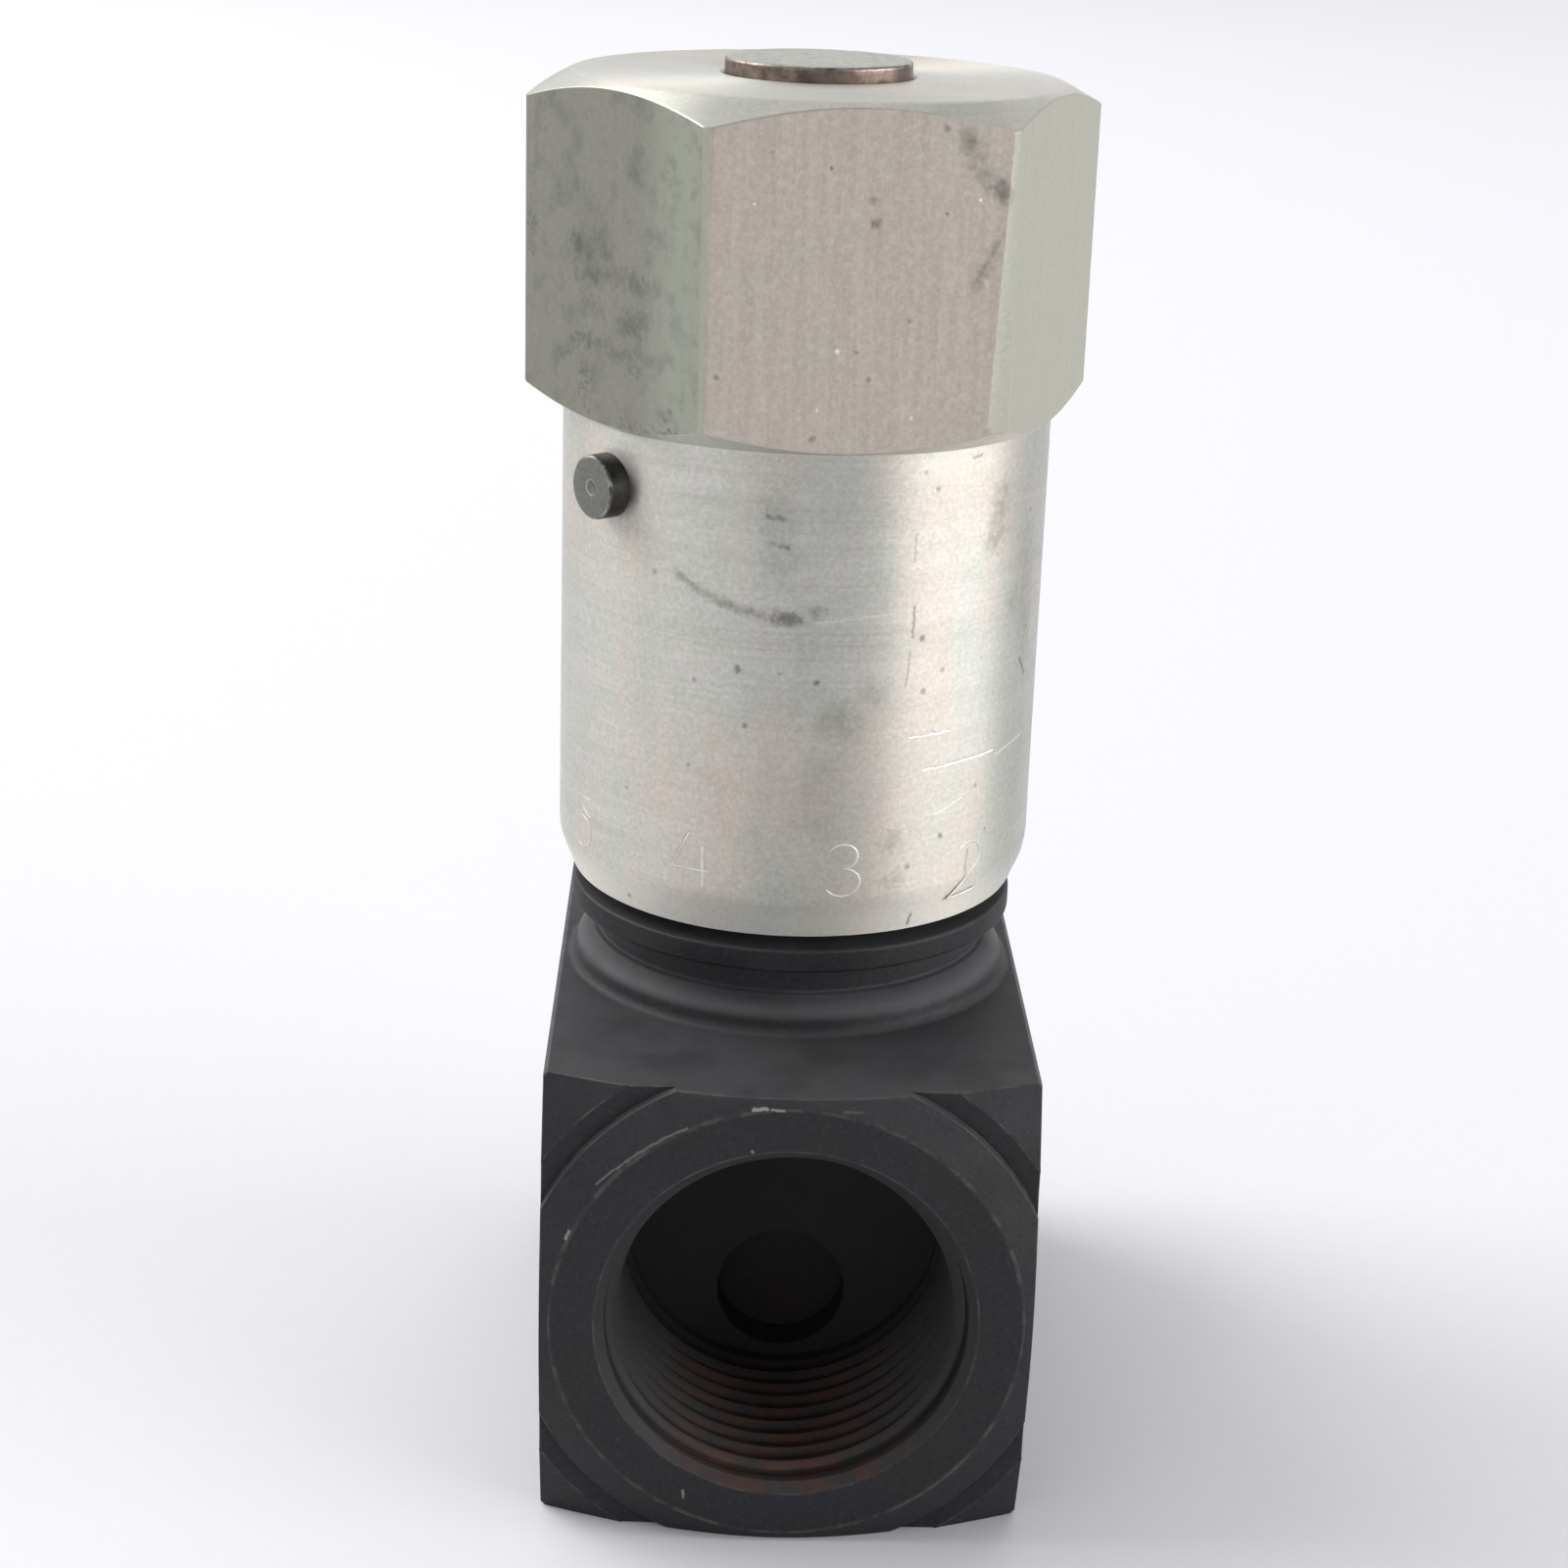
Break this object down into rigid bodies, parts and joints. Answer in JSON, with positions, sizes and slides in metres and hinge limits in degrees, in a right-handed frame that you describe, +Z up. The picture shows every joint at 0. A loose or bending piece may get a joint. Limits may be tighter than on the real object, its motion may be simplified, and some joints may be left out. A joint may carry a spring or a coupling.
{
  "type": "flow control valve",
  "caption": "In-line hydraulic flow control valve: square steel body, threaded ports front and rear, hexagon-headed rotary knob on a screw spindle, metering needle and check poppet inside.",
  "frame": {"origin": "centre of the body's flat underside, straight below the knob's axis", "axes": "+Z up along the knob's axis, Y along the port axis with the pictured port at -Y, +X to the right seen from that port"},
  "size_m": [0.0522, 0.071, 0.1316],
  "materials": {
    "body_steel": "black oxide on turned and milled steel",
    "ring_steel": "black oxide, turned",
    "knob_aluminium": "turned skirt, drawn hexagon, worn bare metal",
    "spindle_steel": "turned steel, lightly tarnished",
    "screw_steel": "dark steel",
    "inner_steel": "ground and hardened",
    "spring_steel": "drawn wire",
    "seal_rubber": "nitrile, moulded",
    "backup_plastic": "white low-friction plastic",
    "washer_copper": "soft copper"
  },
  "bodies": {
    "body": {"valve_body": "body_steel", "index_ring": "ring_steel", "spring_plate": "inner_steel", "check_spring": "spring_steel", "lower_cage": "inner_steel", "seat_ring": "inner_steel", "seat_ring_oring": "seal_rubber", "seat_ring_backup": "backup_plastic", "upper_cage": "inner_steel", "stack_washer": "washer_copper", "bonnet": "inner_steel", "bonnet_oring": "seal_rubber", "bonnet_backup_ring": "backup_plastic", "stem_oring": "seal_rubber", "stem_backup_ring": "backup_plastic", "friction_ring": "seal_rubber"},
    "knob": {"control_knob": "knob_aluminium", "spindle": "spindle_steel", "lock_screw": "screw_steel"},
    "needle": {"metering_needle": "inner_steel", "needle_key_pin": "inner_steel"},
    "poppet": {"check_poppet": "inner_steel"}
  },
  "joints": [
    {"name": "stem_lift", "type": "slide", "parent": "body", "child": "needle", "axis": [0, 0, 1], "range_m": [0, 0.00675]},
    {"name": "knob_turn", "type": "hinge", "parent": "needle", "child": "knob", "pos_m": [0, 0, 0.1], "axis": [0, 0, 1], "range_deg": [0, 1620]},
    {"name": "check_lift", "type": "slide", "parent": "body", "child": "poppet", "axis": [0, 0, -1], "range_m": [0, 0.003], "stiffness_N_per_m": 800, "springref_m": -0.004, "deforming": ["check_spring"]}
  ],
  "couplings": [
    {"joint": "stem_lift", "follows": "knob_turn", "m_per_rad": 0.0002387}
  ]
}
